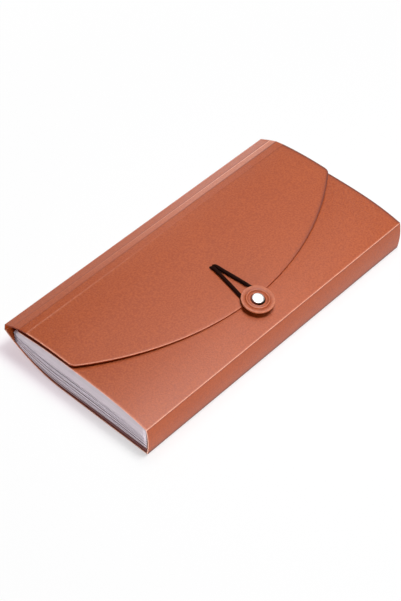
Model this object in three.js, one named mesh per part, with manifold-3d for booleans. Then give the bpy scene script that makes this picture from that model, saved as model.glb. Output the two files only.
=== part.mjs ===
// An expanding file folder, closed. One plastic sheet is folded into a cover: front panel, spine, back
// panel, a creased fold strip and a flap that laps over the front. Twelve dividers make thirteen pockets
// inside it, pleated gussets join them at both ends, and an elastic loop hooks round a riveted button.
// Millimetres, +Z up. X runs along the folder and Y from its spine to the pockets' mouth.
// The origin lies on the table, under the middle of the folder.
import * as THREE from 'three';
import { mergeVertices } from 'three/addons/utils/BufferGeometryUtils.js';
import Module from 'manifold-3d';

const wasm = await Module();
wasm.setup();

// Cover sheet
const folderLength = 255;
const folderDepth = 133; // from the bowed spine to the outermost crease of the fold
const coverSheet = 0.8;
const creaseGap = 0.3; // slit that stands for each living hinge
const spineHeight = 24;
const spineBow = 1.2;
const frontRise = 6.2; // height of the front panel's crown over its spine crease
const crownSetback = 75; // from the spine crease to that crown
const shoulderPower = 3.5; // how quickly the front panel rises from the crease
const mouthDrop = 3.2; // fall of the front panel from its crown to the mouth
const mouthSetback = 11.5; // from the fold back to the front panel's edge
const mouthCornerRadius = 4;
const hingeDrop = 5.2; // from the spine's upper crease down to the fold strip's hinge crease
const liftLength = 53; // stretch over which the back panel curves up to the hinge crease

// Fold strip and flap
const flapRootSetback = 22.8; // from the fold back to the crease where the flap starts
const flapRootGap = 3; // between front panel and flap at that crease
const flapTipGap = 0.5;
const flapSag = 43; // from the flap's corners to its tip
const flapCornerRadius = 7;
const foldCreases = [
  { setback: 1, drop: 7.6 }, // from the fold, and below the flap's first crease
  { setback: 9.5, drop: 3.54 },
  { setback: 16, drop: 1.1 },
];

// Dividers
const dividerCount = 12;
const dividerSheet = 0.2;
const stackShare = 0.6; // part of the folder's inner height that the resting dividers take
const dividerEndInset = 10.5; // from the cover's end to the divider's side edge
const dividerFootGap = 0.9; // to the spine panel
const pocketSetback = 8.5; // from the fold back to the dividers' mouth edge
const tabHeight = 3.4;
const tabWidth = 34;
const tabColumns = 6;
const tabEndMargin = 8;
const tabCornerRadius = 2.5;

// Gussets
const gussetSheet = 0.1;
const gussetEndInset = 0.5; // from the cover's end to the ridge of a pleat
const gussetFlange = 5; // welded margin on each sheet
const gussetFootGap = 0.4;
const weldGap = 0.1;
const wallInset = 1.2; // from a ridge to the place where the front pocket's gusset meets the front panel
const wallRidgeShare = 0.08; // height of that gusset's ridge, as a part of the front pocket's height

// Button
const buttonSetback = 19.4; // from the spine crease to the button's axis
const buttonShift = -2.4; // of that axis from the middle of the folder's length
const buttonDiameter = 22.4;
const buttonSheet = 1.2;
const buttonRingDiameter = 15.2; // along the crest of the moulded ring
const buttonRingWidth = 1.9;
const buttonRingHeight = 0.4;
const spacerDiameter = 6;
const spacerHeight = 3.8;
const rivetShankDiameter = 3.6;
const rivetCapDiameter = 8.4;
const rivetCapHeight = 1.2;
const rivetRimHeight = 0.36; // upright rim under the dome
const rivetBaseDiameter = 9;
const rivetBaseSheet = 0.8;
const seatGap = 0.15; // between the pieces of the button, along its axis
const boreGap = 0.2; // round the rivet's shank

// Elastic loop
const cordDiameter = 2.4;
const loopReach = 40.8; // from the button's axis to the hole in the flap
const cordHoleShift = -1; // of that hole from the middle of the folder's length
const cordHoleWidth = 5.8;
const cordHoleLength = 4.4;
const cordStopWidth = 11;
const cordStopLength = 6;
const cordStopSheet = 1;
const cordStopCornerRadius = 1;
const tipGap = 0.9; // from the button's spacer to the flap's tip
const discGap = 0.8; // from the button's disc to the line where the tip bends
// Half of the loop, from its end in the hole to the turn behind the button: sideways from the line between them,
// along the folder's depth and up, from the hole's centre on the flap's upper face.
const loopHalf = [
  [1.3, 0.9, 0.45],
  [1.3, 0, 0.95],
  [1.3, -1.2, 1.28],
  [1.35, -2.5, 1.36],
  [1.75, -6, 1.08],
  [2.75, -13, 0.67],
  [3.8, -20, 0.15],
  [4.85, -27, -0.54],
  [5.6, -32, -1.16],
  [6.15, -36.3, -1.78],
  [6.25, -39.8, -2.18],
  [5.41, -42.7, -2.61],
  [3.12, -44.85, -2.95],
  [0, -45.6, -3.08],
];

// Fineness of the curves
const roundSteps = 32;
const arcSteps = 20;
const cornerSteps = 5;
const loopSteps = 48;
const loopSides = 8;
const frontSteps = 16;
const frontCrowding = 1.4; // gathers the front panel's steps where it bends most, at the spine
const sheetSteps = 10;

// Places that follow from these sizes
const halfLength = folderLength / 2;
const spineY = spineBow - folderDepth / 2;
const foldY = folderDepth / 2;
const mouthY = foldY - mouthSetback;
const pocketY = foldY - pocketSetback;
const crownY = spineY + crownSetback;
const hingeHeight = spineHeight - hingeDrop;
const liftStartY = foldY - liftLength;
const liftRadius = (liftLength ** 2 + hingeHeight ** 2) / (2 * hingeHeight);
const flapRootY = foldY - flapRootSetback;
const buttonY = spineY + buttonSetback;
const flapTipY = buttonY + spacerDiameter / 2 + tipGap;
const tipBendY = buttonY + buttonDiameter / 2 + discGap;
const cordHoleY = buttonY + loopReach;

const terracotta = { color: 0xb8664a, roughness: 0.55, metalness: 0 };
const clearWhite = { color: 0xc9c4d2, roughness: 0.4, metalness: 0 };
const nickel = { color: 0xe4e2e0, roughness: 0.25, metalness: 1 };
const elasticBlack = { color: 0x171417, roughness: 0.9, metalness: 0 };

function spread(count, from, to) {
  return Array.from({ length: count + 1 }, (_, i) => from + ((to - from) * i) / count);
}

const point = (y, z) => new THREE.Vector2(y, z);

function mesh(name, geometry, finish) {
  const piece = new THREE.Mesh(geometry, new THREE.MeshStandardMaterial(finish));
  piece.name = name;
  return piece;
}

function toSolid(geometry) {
  const bare = geometry.clone();
  bare.deleteAttribute('normal');
  bare.deleteAttribute('uv');
  const merged = mergeVertices(bare, 1e-4);
  const vertProperties = merged.attributes.position.array;
  const triVerts = new Uint32Array(merged.index.array);
  return new wasm.Manifold(new wasm.Mesh({ numProp: 3, vertProperties, triVerts }));
}

function toGeometry(solid) {
  const { vertProperties, triVerts } = solid.getMesh();
  const geometry = new THREE.BufferGeometry();
  geometry.setAttribute('position', new THREE.BufferAttribute(vertProperties, 3));
  geometry.setIndex(new THREE.BufferAttribute(triVerts, 1));
  geometry.computeVertexNormals();
  return geometry;
}

// The profile of the cover

function frontTop(y) {
  const towardsSpine = Math.max(0, (crownY - y) / crownSetback);
  const towardsMouth = Math.max(0, (y - crownY) / (mouthY - crownY));
  return spineHeight + frontRise * (1 - towardsSpine ** shoulderPower) - mouthDrop * towardsMouth ** 2;
}

const frontSlope = (y) => Math.atan(frontTop(y + 0.5) - frontTop(y - 0.5));

function flapTop(y) {
  const along = (y - flapTipY) / (flapRootY - flapTipY);
  const gap = flapTipGap + (flapRootGap - flapTipGap) * Math.sin((along * Math.PI) / 2);
  return frontTop(y) + gap + coverSheet;
}

function backBottom(y) {
  return liftRadius - Math.sqrt(liftRadius ** 2 - Math.max(0, y - liftStartY) ** 2);
}

// Outer face of the whole cover sheet, from the front panel's edge round the spine to the flap's tip.
const flapRoot = point(flapRootY, flapTop(flapRootY));
const stretches = {
  front_panel: spread(frontSteps, 0, 1).map((t) => {
    const y = spineY + (mouthY - spineY) * (1 - t) ** frontCrowding;
    return point(y, frontTop(y));
  }),
  spine_panel: spread(6, 0, 1).map((t) => {
    return point(spineY - 4 * spineBow * t * (1 - t), spineHeight * (1 - t));
  }),
  back_panel: [point(spineY, 0), ...spread(10, liftStartY, foldY).map((y) => point(y, backBottom(y)))],
  fold_strip: [
    point(foldY, hingeHeight),
    ...foldCreases.map((crease) => point(foldY - crease.setback, flapRoot.y - crease.drop)),
    flapRoot,
  ],
  closing_flap: spread(12, flapRootY, tipBendY).map((y) => point(y, flapTop(y))),
  flap_tip: spread(2, tipBendY, flapTipY).map((y) => point(y, flapTop(y))),
};

const coverLine = [];
const reach = {};
for (const [name, points] of Object.entries(stretches)) {
  const first = Math.max(0, coverLine.length - 1);
  coverLine.push(...(coverLine.length ? points.slice(1) : points));
  reach[name] = [first, coverLine.length - 1];
}

// The other face of a sheet: every corner of a line, mitred to its left by the sheet's thickness.
function mitred(line, thickness) {
  return line.map((corner, i) => {
    const steps = [];
    if (i > 0) {
      steps.push(corner.clone().sub(line[i - 1]));
    }
    if (i + 1 < line.length) {
      steps.push(line[i + 1].clone().sub(corner));
    }
    const sum = point(0, 0);
    for (const step of steps) {
      sum.add(point(-step.y, step.x).normalize());
    }
    return corner.clone().addScaledVector(sum, (thickness * steps.length) / sum.lengthSq());
  });
}

const innerLine = mitred(coverLine, coverSheet);

// A stretch of the sheet, with half a crease's slit taken off both of its ends.
function stretchOf(line, name) {
  const [first, last] = reach[name];
  const part = line.slice(first, last + 1).map((p) => p.clone());
  const shorten = (end, next) => end.addScaledVector(next.clone().sub(end).normalize(), creaseGap / 2);
  shorten(part[0], part[1]);
  shorten(part.at(-1), part.at(-2));
  return part;
}

const depthUpAcross = new THREE.Matrix4().makeBasis(
  new THREE.Vector3(0, 1, 0),
  new THREE.Vector3(0, 0, 1),
  new THREE.Vector3(1, 0, 0),
);

// A sheet as wide as the folder is long, from both faces of its section.
function wideSheet(oneFace, otherFace) {
  const outline = new THREE.Shape([...oneFace, ...otherFace.toReversed()]);
  const geometry = new THREE.ExtrudeGeometry(outline, { depth: folderLength, bevelEnabled: false });
  return geometry.translate(0, 0, -halfLength).applyMatrix4(depthUpAcross);
}

const coverPanel = (name) => wideSheet(stretchOf(coverLine, name), stretchOf(innerLine, name));

// A cutter that stands on a plan outline and passes through every panel.
function upright(outline, curveSegments) {
  const height = 3 * (spineHeight + frontRise);
  const geometry = new THREE.ExtrudeGeometry(outline, { depth: height, bevelEnabled: false, curveSegments });
  return toSolid(geometry.translate(0, 0, -height / 3));
}

function roundedBox(width, length, radius) {
  const shape = new THREE.Shape();
  const x = width / 2 - radius;
  const y = length / 2 - radius;
  shape.absarc(x, y, radius, 0, Math.PI / 2);
  shape.absarc(-x, y, radius, Math.PI / 2, Math.PI);
  shape.absarc(-x, -y, radius, Math.PI, 1.5 * Math.PI);
  shape.absarc(x, -y, radius, 1.5 * Math.PI, 2 * Math.PI);
  return shape;
}

// Plan of the front panel: square at the spine, with rounded corners at the mouth.
function frontOutline() {
  const shape = new THREE.Shape();
  const x = halfLength - mouthCornerRadius;
  const y = mouthY - creaseGap / 2 - mouthCornerRadius;
  shape.moveTo(-halfLength, spineY - folderDepth);
  shape.lineTo(halfLength, spineY - folderDepth);
  shape.absarc(x, y, mouthCornerRadius, 0, Math.PI / 2);
  shape.absarc(-x, y, mouthCornerRadius, Math.PI / 2, Math.PI);
  return shape;
}

// Plan of the flap: straight sides, rounded corners and one wide arc whose middle is the tip.
function flapOutline() {
  const shape = new THREE.Shape();
  const radius = (halfLength ** 2 + flapSag ** 2) / (2 * flapSag);
  const centreY = flapTipY + radius;
  const cornerX = halfLength - flapCornerRadius;
  const cornerY = centreY - Math.sqrt((radius - flapCornerRadius) ** 2 - cornerX ** 2);
  const turn = Math.atan2(cornerY - centreY, cornerX);
  shape.moveTo(halfLength, foldY);
  shape.lineTo(halfLength, cornerY);
  shape.absarc(cornerX, cornerY, flapCornerRadius, 0, turn, true);
  shape.absarc(0, centreY, radius, turn, -Math.PI - turn, true);
  shape.absarc(-cornerX, cornerY, flapCornerRadius, -Math.PI - turn, -Math.PI, true);
  shape.lineTo(-halfLength, foldY);
  return shape;
}

// The frame of the button: on the front panel, square to its slope.
const button = new THREE.Group();
button.position.set(buttonShift, buttonY, frontTop(buttonY));
button.rotation.x = frontSlope(buttonY);
button.updateMatrix();

function cover() {
  const bore = rivetShankDiameter / 2 + boreGap;
  const rivetHole = new THREE.CylinderGeometry(bore, bore, spineHeight / 2, roundSteps / 2);
  rivetHole.rotateX(Math.PI / 2).applyMatrix4(button.matrix);
  const cordHole = roundedBox(cordHoleWidth, cordHoleLength, cordHoleLength / 2 - boreGap);
  const flapPlan = upright(flapOutline(), arcSteps);
  const front = toSolid(coverPanel('front_panel'))
    .intersect(upright(frontOutline(), cornerSteps))
    .subtract(toSolid(rivetHole));
  const flap = toSolid(coverPanel('closing_flap'))
    .intersect(flapPlan)
    .subtract(upright(cordHole, cornerSteps).translate([cordHoleShift, cordHoleY, 0]));
  const tip = toSolid(coverPanel('flap_tip')).intersect(flapPlan);
  return [
    mesh('front_panel', toGeometry(front), terracotta),
    mesh('spine_panel', coverPanel('spine_panel'), terracotta),
    mesh('back_panel', coverPanel('back_panel'), terracotta),
    mesh('fold_strip', coverPanel('fold_strip'), terracotta),
    mesh('closing_flap', toGeometry(flap), terracotta),
    mesh('flap_tip', toGeometry(tip), terracotta),
  ];
}

// Dividers: they lie stacked on the back, each bowed a little more towards the front than the one below it.
const dividerHalf = halfLength - dividerEndInset;
const dividerFootY = spineY + coverSheet + dividerFootGap;
const tabEndY = pocketY + tabHeight;
const sheetStations = [...spread(sheetSteps, dividerFootY, pocketY), tabEndY + tabCornerRadius];

// Height at any y along a line of points that runs towards the mouth.
function heightAlong(line) {
  return (y) => {
    const i = 1 + line.slice(1, -1).filter((p) => p.x <= y).length;
    return THREE.MathUtils.mapLinear(y, line[i - 1].x, line[i].x, line[i - 1].y, line[i].y);
  };
}

function innerHeight(name) {
  const [first, last] = reach[name];
  return heightAlong(innerLine.slice(first, last + 1).sort((a, b) => a.x - b.x));
}

const backInside = innerHeight('back_panel');
const frontInside = innerHeight('front_panel');
const roomAt = (y) => frontInside(Math.min(y, mouthY)) - backInside(Math.min(y, mouthY));

const dividers = spread(dividerCount, 0, stackShare).slice(1).map((share, index) => {
  const raised = (lift) => sheetStations.map((y) => point(y, backInside(y) + share * roomAt(y) + lift));
  const [under, over] = [raised(-dividerSheet / 2), raised(dividerSheet / 2)];
  return { number: index + 1, under, over, bottom: heightAlong(under), top: heightAlong(over) };
});

// Plan of a divider: a sheet with one index tab, in the column that its number gives.
function dividerOutline(number) {
  const shape = new THREE.Shape();
  const firstTab = -dividerHalf + tabEndMargin + tabWidth / 2;
  const tabStep = (-2 * firstTab) / (tabColumns - 1);
  const tabX = firstTab + tabStep * ((number - 1) % tabColumns);
  const right = tabX + tabWidth / 2;
  const left = tabX - tabWidth / 2;
  const r = tabCornerRadius;
  shape.moveTo(-dividerHalf, spineY);
  shape.lineTo(dividerHalf, spineY);
  shape.lineTo(dividerHalf, pocketY);
  shape.lineTo(right, pocketY);
  shape.absarc(right - r, tabEndY - r, r, 0, Math.PI / 2);
  shape.absarc(left + r, tabEndY - r, r, Math.PI / 2, Math.PI);
  shape.lineTo(left, pocketY);
  shape.lineTo(-dividerHalf, pocketY);
  return shape;
}

const twoDigits = (number) => String(number).padStart(2, '0');

function divider({ number, under, over }) {
  const sheet = toSolid(wideSheet(under, over)).intersect(upright(dividerOutline(number), cornerSteps));
  return mesh(`divider_${twoDigits(number)}`, toGeometry(sheet), clearWhite);
}

// Gussets: between each two sheets, at both ends, one pleat that folds outwards.
const gussetStartY = dividerFootY + gussetFootGap;
const gussetEndY = pocketY - gussetFootGap;
const ridgeX = halfLength - gussetEndInset;

// Section of a pleat between two heights: a flange on each sheet and two leaves that meet in the outer ridge.
function pleatSection(low, high, upperX, ridgeShare) {
  const outside = [
    point(dividerHalf - gussetFlange, low),
    point(dividerHalf, low),
    point(ridgeX, low + ridgeShare * (high - low)),
    point(upperX, high),
    point(upperX - gussetFlange, high),
  ];
  return [...outside, ...mitred(outside, gussetSheet).reverse()];
}

// A closed solid through equal rings of points across the folder, one ring at each station along Y.
function loft(stations, ringAt, side) {
  const rings = stations.map(ringAt);
  const size = rings[0].length;
  const positions = rings.flatMap((ring, i) => ring.flatMap((p) => [side * p.x, stations[i], p.y]));
  const faces = [];
  for (let i = 0; i + 1 < rings.length; i++) {
    for (let j = 0; j < size; j++) {
      const [a, b] = [i * size + j, i * size + ((j + 1) % size)];
      faces.push([a, b + size, b], [a, a + size, b + size]);
    }
  }
  const lastRing = (rings.length - 1) * size;
  for (const [a, b, c] of THREE.ShapeUtils.triangulateShape(rings[0], [])) {
    faces.push([a, b, c]);
  }
  for (const [a, b, c] of THREE.ShapeUtils.triangulateShape(rings.at(-1), [])) {
    faces.push([lastRing + a, lastRing + c, lastRing + b]);
  }
  const geometry = new THREE.BufferGeometry();
  geometry.setAttribute('position', new THREE.Float32BufferAttribute(positions, 3));
  geometry.setIndex(faces.flatMap(([a, b, c]) => (side > 0 ? [a, b, c] : [a, c, b])));
  geometry.computeVertexNormals();
  return geometry;
}

function gussets() {
  const floors = [backInside, ...dividers.map((sheet) => sheet.top)];
  const roofs = [...dividers.map((sheet) => sheet.bottom), frontInside];
  const inner = sheetStations.filter((y) => y > gussetStartY && y < gussetEndY);
  const stations = [gussetStartY, ...inner, gussetEndY];
  const ends = { left: -1, right: 1 };
  return floors.flatMap((floor, index) => {
    const frontPocket = index === dividerCount;
    const upperX = frontPocket ? ridgeX - wallInset : dividerHalf;
    const ridgeShare = frontPocket ? wallRidgeShare : 1 / 2;
    const ringAt = (y) => pleatSection(floor(y) + weldGap, roofs[index](y) - weldGap, upperX, ridgeShare);
    return Object.entries(ends).map(([end, side]) =>
      mesh(`gusset_${end}_${twoDigits(index + 1)}`, loft(stations, ringAt, side), clearWhite),
    );
  });
}

// A round piece about the button's axis, from a closed [radius, height] profile.
function turned(profile) {
  const points = [...profile, profile[0]].map(([radius, height]) => point(radius, height));
  return new THREE.LatheGeometry(points, roundSteps).rotateX(Math.PI / 2);
}

function buttonPieces() {
  const bore = rivetShankDiameter / 2 + boreGap;
  const discLow = spacerHeight + 2 * seatGap;
  const discHigh = discLow + buttonSheet;
  const ring = buttonRingDiameter / 2;
  const edge = buttonSheet / 4;
  const disc = turned([
    [bore, discLow],
    [buttonDiameter / 2 - edge, discLow],
    [buttonDiameter / 2, discLow + edge],
    [buttonDiameter / 2, discHigh - edge],
    [buttonDiameter / 2 - edge, discHigh],
    [ring + buttonRingWidth / 2, discHigh],
    [ring, discHigh + buttonRingHeight],
    [ring - buttonRingWidth / 2, discHigh],
    [bore, discHigh],
  ]);
  const spacer = turned([
    [bore, seatGap],
    [spacerDiameter / 2, seatGap],
    [spacerDiameter / 2, seatGap + spacerHeight],
    [bore, seatGap + spacerHeight],
  ]);
  const baseHigh = -coverSheet - seatGap;
  const baseLow = baseHigh - rivetBaseSheet;
  const base = turned([
    [bore, baseLow],
    [rivetBaseDiameter / 2, baseLow],
    [rivetBaseDiameter / 2, baseHigh],
    [bore, baseHigh],
  ]);
  const capLow = discHigh + seatGap;
  const shank = rivetShankDiameter / 2;
  const capRadius = rivetCapDiameter / 2;
  const dome = spread(cornerSteps, 0, Math.PI / 2).map((turn) => {
    const rise = (rivetCapHeight - rivetRimHeight) * Math.sin(turn);
    return [capRadius * Math.cos(turn), capLow + rivetRimHeight + rise];
  });
  const domeTop = [0, capLow + rivetCapHeight];
  const cap = turned([
    [0, baseLow],
    [shank, baseLow],
    [shank, capLow],
    [capRadius, capLow],
    ...dome.slice(0, -1),
    domeTop,
  ]);
  return [
    mesh('button_disc', disc, terracotta),
    mesh('button_spacer', spacer, terracotta),
    mesh('rivet_cap', cap, nickel),
    mesh('rivet_base', base, nickel),
  ];
}

// The elastic loop, and the metal stop that holds both of its ends under the flap.
function closure() {
  const otherHalf = loopHalf.slice(0, -1).map(([x, y, z]) => [-x, y, z]);
  const lean = (cordHoleShift - buttonShift) / loopReach;
  const route = [...otherHalf, ...loopHalf.toReversed()].map(([x, y, z]) => new THREE.Vector3(x + lean * y, y, z));
  const section = new THREE.Shape().absarc(0, 0, cordDiameter / 2, 0, 2 * Math.PI);
  const loop = new THREE.ExtrudeGeometry(section, {
    steps: loopSteps,
    curveSegments: loopSides,
    extrudePath: new THREE.CatmullRomCurve3(route, false, 'centripetal'),
  });
  const stopOutline = roundedBox(cordStopWidth, cordStopLength, cordStopCornerRadius);
  const stop = new THREE.ExtrudeGeometry(stopOutline, {
    depth: cordStopSheet,
    bevelEnabled: false,
    curveSegments: cornerSteps,
  });
  const pieces = [
    mesh('elastic_loop', loop, elasticBlack),
    mesh('cord_stop', stop.translate(0, 0, -coverSheet - seatGap - cordStopSheet), nickel),
  ];
  return new THREE.Group().add(...pieces);
}

const folder = new THREE.Group();
const elastic = closure();
elastic.position.set(cordHoleShift, cordHoleY, flapTop(cordHoleY));
button.add(...buttonPieces());
folder.add(...cover(), ...dividers.map(divider), ...gussets(), button, elastic);

export default folder;
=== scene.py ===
# %% [markdown]
# # An expanding file folder
# A small plastic expanding file lies closed on a white table. Its cover is one terracotta sheet, folded
# round a stack of frosted dividers. The imported model gives every piece its place and its joints, so the
# lesson starts by loading it.

# %% Load the imported folder
import math

import bmesh
import bpy
from mathutils import Matrix, Vector


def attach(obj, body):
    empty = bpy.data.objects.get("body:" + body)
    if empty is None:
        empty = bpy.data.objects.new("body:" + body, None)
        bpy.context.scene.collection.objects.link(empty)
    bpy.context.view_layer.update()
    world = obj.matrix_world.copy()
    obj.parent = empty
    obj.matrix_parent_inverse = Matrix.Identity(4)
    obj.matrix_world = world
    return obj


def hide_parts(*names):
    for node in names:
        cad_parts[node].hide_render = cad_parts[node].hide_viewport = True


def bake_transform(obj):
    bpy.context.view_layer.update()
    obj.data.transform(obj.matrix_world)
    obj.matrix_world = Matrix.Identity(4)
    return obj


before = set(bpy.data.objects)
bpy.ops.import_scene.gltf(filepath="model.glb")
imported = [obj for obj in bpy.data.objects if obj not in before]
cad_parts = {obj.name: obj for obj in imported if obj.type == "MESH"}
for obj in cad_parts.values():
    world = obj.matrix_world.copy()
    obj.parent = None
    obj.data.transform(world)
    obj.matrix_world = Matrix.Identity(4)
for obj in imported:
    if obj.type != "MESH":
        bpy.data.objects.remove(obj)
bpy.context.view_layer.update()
MM = 0.001

# %% [markdown]
# ## The camera
# A product photograph is easiest to match when the camera comes first. This one was found by fitting a
# pinhole camera to the folder's corners: it looks down from the front left with a long lens. The focal
# length is known in pixels of the picture's longer side, and Blender wants it in millimetres of a 36 mm
# sensor.

# %% Place the camera
PHOTO_HEIGHT = 601
FOCAL_PIXELS = 1577
SENSOR = 36
AZIMUTH = math.radians(-47.0)
ELEVATION = math.radians(46.59)
CAMERA_OFFSET = Vector((-5.64, -2.60, 1091.8))  # to the right, up and back, in mm

level = math.cos(ELEVATION)
towards_camera = Vector((math.sin(AZIMUTH) * level, -math.cos(AZIMUTH) * level, math.sin(ELEVATION)))
aim = (-towards_camera).to_track_quat("-Z", "Y")
camera = bpy.data.objects.new("camera", bpy.data.cameras.new("camera"))
camera.data.sensor_width = SENSOR
camera.data.lens = FOCAL_PIXELS * SENSOR / PHOTO_HEIGHT
camera.rotation_mode = "QUATERNION"
camera.rotation_quaternion = aim
camera.location = aim @ CAMERA_OFFSET * MM
bpy.context.scene.collection.objects.link(camera)
bpy.context.scene.camera = camera
print("camera at", [round(c, 3) for c in camera.location], "lens", round(camera.data.lens, 2))

# %% [markdown]
# ## Helpers for meshes
# Most of this folder is sheet: a surface that is bent, but was cut from something flat. A grid suits that
# well. It is made by one operator, each of its points is carried to its place, and a Solidify modifier
# gives it thickness. Marking the sharp edges keeps smooth shading from smearing across them.

# %% Grid and object helpers
SHARP_ANGLE = math.radians(32)
BEVEL_ANGLE = math.radians(50)
MERGE_DISTANCE = 1e-6
FINE_DISTANCE = 1e-7


def carried_grid(columns, rows, place):
    """A bmesh grid whose points are carried to place(column, row), in mm.
    Returns it with the column and row index of each point."""
    bm = bmesh.new()
    bmesh.ops.create_grid(bm, x_segments=len(columns) - 1, y_segments=len(rows) - 1, size=0.5)
    spots = []
    for vert in bm.verts:
        i = round((vert.co.x + 0.5) * (len(columns) - 1))
        j = round((vert.co.y + 0.5) * (len(rows) - 1))
        spots.append((i, j))
        vert.co = Vector(place(columns[i], rows[j])) * MM
    return bm, spots


def add_piece(name, bm, *finishes):
    """A named object from a bmesh, smooth but for its sharp edges."""
    for face in bm.faces:
        face.smooth = True
    for edge in bm.edges:
        edge.smooth = len(edge.link_faces) != 2 or edge.calc_face_angle() < SHARP_ANGLE
    mesh = bpy.data.meshes.new(name)
    bm.to_mesh(mesh)
    bm.free()
    for finish in finishes:
        mesh.materials.append(finish)
    piece = bpy.data.objects.new(name, mesh)
    bpy.context.scene.collection.objects.link(piece)
    return piece


def spaced(count, start, end):
    """Even steps from start to end, both included."""
    return [start + (end - start) * i / count for i in range(count + 1)]


def thicken(piece, thickness, edge_round, pale_rim=True):
    """Gives a sheet its thickness, away from its outer face, with its last finish on the cut edges."""
    solid = piece.modifiers.new("thickness", "SOLIDIFY")
    solid.thickness = thickness * MM
    solid.offset = -1
    solid.use_even_offset = True
    solid.material_offset_rim = len(piece.data.materials) - 1
    if edge_round:
        bevel = piece.modifiers.new("edges", "BEVEL")
        bevel.width = edge_round * MM
        bevel.segments = 2
        bevel.limit_method = "ANGLE"
        bevel.angle_limit = BEVEL_ANGLE
        bevel.harden_normals = True
        bevel.material = solid.material_offset_rim if pale_rim else -1


print("mesh helpers ready")

# %% [markdown]
# ## Helpers for finishes
# A material is a small program made of nodes. Writing it as Python maths keeps it readable: a wrapper
# stands for one socket, and each operator adds the Math node that it needs. Every other node comes from a
# single function, which takes the values or links of its sockets, and the settings that decide which
# sockets it has.

# %% Sockets and nodes
class Socket:
    """One output socket, so that maths on values is written as a Python expression."""

    def __init__(self, socket):
        self.socket = socket

    def maths(self, operation, first, second=0.0):
        tree = self.socket.id_data
        return node(tree, "Math", {0: first, 1: second}, operation=operation)["Value"]

    def __add__(self, other):
        return self.maths("ADD", self, other)

    def __radd__(self, other):
        return self.maths("ADD", other, self)

    def __sub__(self, other):
        return self.maths("SUBTRACT", self, other)

    def __rsub__(self, other):
        return self.maths("SUBTRACT", other, self)

    def __mul__(self, other):
        return self.maths("MULTIPLY", self, other)

    def sine(self):
        return self.maths("SINE", self)

    def most(self, other):
        return self.maths("MAXIMUM", self, other)


def node(tree, kind, inputs=None, **settings):
    """Adds one shader node and returns its outputs by name."""
    made = tree.nodes.new("ShaderNode" + kind)
    for key, value in settings.items():
        setattr(made, key, value)
    for key, value in (inputs or {}).items():
        if isinstance(value, Socket):
            tree.links.new(value.socket, made.inputs[key])
        else:
            made.inputs[key].default_value = value
    return {out.name: Socket(out) for out in made.outputs if out.enabled}


print("sockets ready")

# %% What the finishes share
def new_finish(name):
    """An empty material, with the node tree to write it in."""
    finish = bpy.data.materials.new(name)
    finish.use_nodes = True
    finish.node_tree.nodes.clear()
    return finish, finish.node_tree


def blended(tree, share, first, second):
    """Two colours mixed by a share from 0 to 1. A Mix node keeps its colour sockets at places 6 and 7."""
    inputs = {0: share, 6: first, 7: second}
    return node(tree, "Mix", inputs, data_type="RGBA", clamp_factor=True)["Result"]


def object_place(tree):
    return node(tree, "TexCoord")["Object"]


def noise(tree, scale, detail, where=None):
    """Soft noise from 0 to 1, with about as many grains to the metre as its scale."""
    inputs = {"Vector": where or object_place(tree), "Scale": scale, "Detail": detail}
    return node(tree, "TexNoise", inputs)["Fac"]


def bumped(tree, height, depth, strength=1.0):
    inputs = {"Height": height, "Distance": depth, "Strength": strength}
    return node(tree, "Bump", inputs)["Normal"]


def end_surface(tree, inputs):
    """Closes a material with a Principled shader, given the values or links of its sockets."""
    shader = node(tree, "BsdfPrincipled", inputs)["BSDF"]
    node(tree, "OutputMaterial", {"Surface": shader})


print("finish helpers ready")

# %% [markdown]
# ## Finish: the cover's plastic
# The cover is coloured polypropylene with a fine sand grain rolled into it. Three scales make it: soft
# blotches over centimetres, a speckle of about a millimetre, and a finer grain for the bump. Where the
# sheet was creased it is paler. Painted light and shade go the same way: painted highlights on rims, facets
# and the button's bead, and painted shade in scores, grooves, seats and under edges. That follows the shape,
# so a point attribute on each piece carries it, above 0 for pale and below 0 for dark. The same function,
# with other colours and no creases, makes a darker copy of the sheet's colour, a painted shade for cut edges
# and parts that sit in shadow.

# %% Terracotta sheet
SHEET_DARK = (0.310, 0.048, 0.005, 1)
SHEET_LIGHT = (0.400, 0.077, 0.013, 1)
# pale creases and painted highlights take the first colour, painted shade takes the second
CREASE_AND_HIGHLIGHT_COLOUR = (0.86, 0.40, 0.26, 1)
PAINTED_SHADE_COLOUR = (0.12, 0.012, 0.003, 1)
# a darker copy of the sheet's colour: painted shade for cut edges and the button's post
SHADED_DARK = (0.24, 0.027, 0.005, 1)
SHADED_LIGHT = (0.34, 0.042, 0.009, 1)
SHEET_GLOSS, SHADED_GLOSS = 0.5, 0.15
BLOTCH_SCALE, SPECKLE_SCALE, GRAIN_SCALE = 16.0, 850.0, 4200.0
BLOTCH_SHARE, SPECKLE_SHARE, SHADE_START = 0.5, 3.5, 1.5
CREASE_SHARE, CREASE_SPECKLE = 0.3, 0.6
SPECKLE_HEIGHT, GRAIN_HEIGHT, SAND_DEPTH = 0.6, 0.4, 0.00018


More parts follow.
